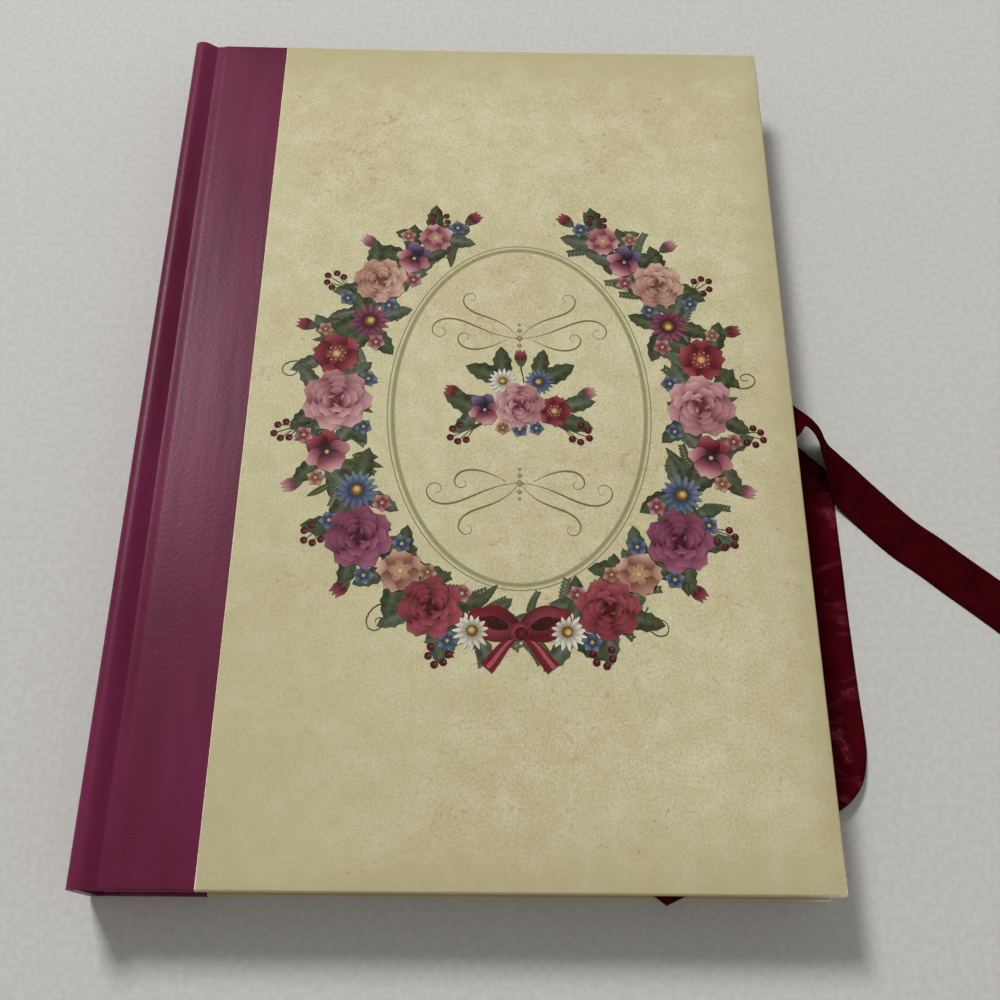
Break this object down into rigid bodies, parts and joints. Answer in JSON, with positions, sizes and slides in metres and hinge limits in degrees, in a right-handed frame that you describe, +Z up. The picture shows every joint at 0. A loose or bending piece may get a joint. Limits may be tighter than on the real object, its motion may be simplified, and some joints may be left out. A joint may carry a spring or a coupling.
{
  "type": "photograph album",
  "caption": "Case-bound photograph album with a quarter-covered hinged spine, card leaves on guards that open flat, and two satin ribbon ties at the fore-edge.",
  "frame": {"origin": "middle of the closed album's footprint on the surface it lies on", "axes": "+Z up through the front cover, +X from the spine to the fore-edge, +Y from tail to head"},
  "size_m": [0.328, 0.3106, 0.0218],
  "materials": {
    "grey_board": "pressed grey pulp board, hidden inside the covering",
    "cream_paper": "matt aged cream covering paper with faint brown spots",
    "plum_covering": "plum quarter covering with a soft satin sheen",
    "endpaper": "plain pale endpaper, matt",
    "lining_paper": "thin brown lining paper",
    "linen_thread": "twisted linen thread",
    "leaf_card": "thick cream card, matt",
    "guard_paper": "folded paper guard strip",
    "satin_ribbon": "dark red woven satin with a soft gloss"
  },
  "bodies": {
    "back_cover": {"back_board": "grey_board", "back_cover_paper": "cream_paper", "back_quarter_cover": "plum_covering", "back_pastedown": "endpaper", "binding_thread": "linen_thread", "back_ribbon": "satin_ribbon"},
    "spine": {"spine_board": "grey_board", "spine_cover": "plum_covering", "spine_lining": "lining_paper"},
    "front_cover": {"front_board": "grey_board", "front_cover_paper": "cream_paper", "front_quarter_cover": "plum_covering", "front_pastedown": "endpaper", "front_ribbon": "satin_ribbon"},
    "front_flyleaf": {"front_flyleaf": "endpaper"},
    "leaf_01": {"leaf_01": "leaf_card", "guard_01": "guard_paper"},
    "leaf_02": {"leaf_02": "leaf_card", "guard_02": "guard_paper"},
    "leaf_03": {"leaf_03": "leaf_card", "guard_03": "guard_paper"},
    "leaf_04": {"leaf_04": "leaf_card", "guard_04": "guard_paper"},
    "leaf_05": {"leaf_05": "leaf_card", "guard_05": "guard_paper"},
    "leaf_06": {"leaf_06": "leaf_card", "guard_06": "guard_paper"},
    "leaf_07": {"leaf_07": "leaf_card", "guard_07": "guard_paper"},
    "leaf_08": {"leaf_08": "leaf_card", "guard_08": "guard_paper"},
    "leaf_09": {"leaf_09": "leaf_card", "guard_09": "guard_paper"},
    "leaf_10": {"leaf_10": "leaf_card", "guard_10": "guard_paper"},
    "leaf_11": {"leaf_11": "leaf_card", "guard_11": "guard_paper"},
    "leaf_12": {"leaf_12": "leaf_card", "guard_12": "guard_paper"},
    "leaf_13": {"leaf_13": "leaf_card", "guard_13": "guard_paper"},
    "leaf_14": {"leaf_14": "leaf_card", "guard_14": "guard_paper"},
    "back_flyleaf": {"back_flyleaf": "endpaper"}
  },
  "joints": [
    {"name": "spine_hinge", "type": "hinge", "parent": "back_cover", "child": "spine", "pos_m": [-0.10741, 0, 0.00059], "axis": [0, -1, 0], "range_deg": [0, 90]},
    {"name": "front_cover_hinge", "type": "hinge", "parent": "spine", "child": "front_cover", "pos_m": [-0.10741, 0, 0.02121], "axis": [0, -1, 0], "range_deg": [0, 90]},
    {"name": "front_flyleaf_turn", "type": "hinge", "parent": "back_cover", "child": "front_flyleaf", "pos_m": [-0.1042, 0, 0.0109], "axis": [0, -1, 0], "range_deg": [0, 179.4]},
    {"name": "leaf_01_turn", "type": "hinge", "parent": "back_cover", "child": "leaf_01", "pos_m": [-0.1042, 0, 0.0109], "axis": [0, -1, 0], "range_deg": [0, 178.5]},
    {"name": "leaf_02_turn", "type": "hinge", "parent": "back_cover", "child": "leaf_02", "pos_m": [-0.1042, 0, 0.0109], "axis": [0, -1, 0], "range_deg": [0, 177.6]},
    {"name": "leaf_03_turn", "type": "hinge", "parent": "back_cover", "child": "leaf_03", "pos_m": [-0.1042, 0, 0.0109], "axis": [0, -1, 0], "range_deg": [0, 176.7]},
    {"name": "leaf_04_turn", "type": "hinge", "parent": "back_cover", "child": "leaf_04", "pos_m": [-0.1042, 0, 0.0109], "axis": [0, -1, 0], "range_deg": [0, 175.8]},
    {"name": "leaf_05_turn", "type": "hinge", "parent": "back_cover", "child": "leaf_05", "pos_m": [-0.1042, 0, 0.0109], "axis": [0, -1, 0], "range_deg": [0, 174.9]},
    {"name": "leaf_06_turn", "type": "hinge", "parent": "back_cover", "child": "leaf_06", "pos_m": [-0.1042, 0, 0.0109], "axis": [0, -1, 0], "range_deg": [0, 174]},
    {"name": "leaf_07_turn", "type": "hinge", "parent": "back_cover", "child": "leaf_07", "pos_m": [-0.1042, 0, 0.0109], "axis": [0, -1, 0], "range_deg": [0, 173.1]},
    {"name": "leaf_08_turn", "type": "hinge", "parent": "back_cover", "child": "leaf_08", "pos_m": [-0.1042, 0, 0.0109], "axis": [0, -1, 0], "range_deg": [0, 6.9]},
    {"name": "leaf_09_turn", "type": "hinge", "parent": "back_cover", "child": "leaf_09", "pos_m": [-0.1042, 0, 0.0109], "axis": [0, -1, 0], "range_deg": [0, 6]},
    {"name": "leaf_10_turn", "type": "hinge", "parent": "back_cover", "child": "leaf_10", "pos_m": [-0.1042, 0, 0.0109], "axis": [0, -1, 0], "range_deg": [0, 5.1]},
    {"name": "leaf_11_turn", "type": "hinge", "parent": "back_cover", "child": "leaf_11", "pos_m": [-0.1042, 0, 0.0109], "axis": [0, -1, 0], "range_deg": [0, 4.2]},
    {"name": "leaf_12_turn", "type": "hinge", "parent": "back_cover", "child": "leaf_12", "pos_m": [-0.1042, 0, 0.0109], "axis": [0, -1, 0], "range_deg": [0, 3.3]},
    {"name": "leaf_13_turn", "type": "hinge", "parent": "back_cover", "child": "leaf_13", "pos_m": [-0.1042, 0, 0.0109], "axis": [0, -1, 0], "range_deg": [0, 2.4]},
    {"name": "leaf_14_turn", "type": "hinge", "parent": "back_cover", "child": "leaf_14", "pos_m": [-0.1042, 0, 0.0109], "axis": [0, -1, 0], "range_deg": [0, 1.5]},
    {"name": "back_flyleaf_turn", "type": "hinge", "parent": "back_cover", "child": "back_flyleaf", "pos_m": [-0.1042, 0, 0.0109], "axis": [0, -1, 0], "range_deg": [0, 0.6]}
  ],
  "couplings": [
    {"joint": "front_cover_hinge", "follows": "spine_hinge", "ratio": 1},
    {"joint": "front_flyleaf_turn", "follows": "spine_hinge", "ratio": 1.9933},
    {"joint": "leaf_01_turn", "follows": "spine_hinge", "ratio": 1.9833},
    {"joint": "leaf_02_turn", "follows": "spine_hinge", "ratio": 1.9733},
    {"joint": "leaf_03_turn", "follows": "spine_hinge", "ratio": 1.9633},
    {"joint": "leaf_04_turn", "follows": "spine_hinge", "ratio": 1.9533},
    {"joint": "leaf_05_turn", "follows": "spine_hinge", "ratio": 1.9433},
    {"joint": "leaf_06_turn", "follows": "spine_hinge", "ratio": 1.9333},
    {"joint": "leaf_07_turn", "follows": "spine_hinge", "ratio": 1.9233},
    {"joint": "leaf_08_turn", "follows": "spine_hinge", "ratio": 0.076667},
    {"joint": "leaf_09_turn", "follows": "spine_hinge", "ratio": 0.066667},
    {"joint": "leaf_10_turn", "follows": "spine_hinge", "ratio": 0.056667},
    {"joint": "leaf_11_turn", "follows": "spine_hinge", "ratio": 0.046667},
    {"joint": "leaf_12_turn", "follows": "spine_hinge", "ratio": 0.036667},
    {"joint": "leaf_13_turn", "follows": "spine_hinge", "ratio": 0.026667},
    {"joint": "leaf_14_turn", "follows": "spine_hinge", "ratio": 0.016667},
    {"joint": "back_flyleaf_turn", "follows": "spine_hinge", "ratio": 0.006667}
  ]
}
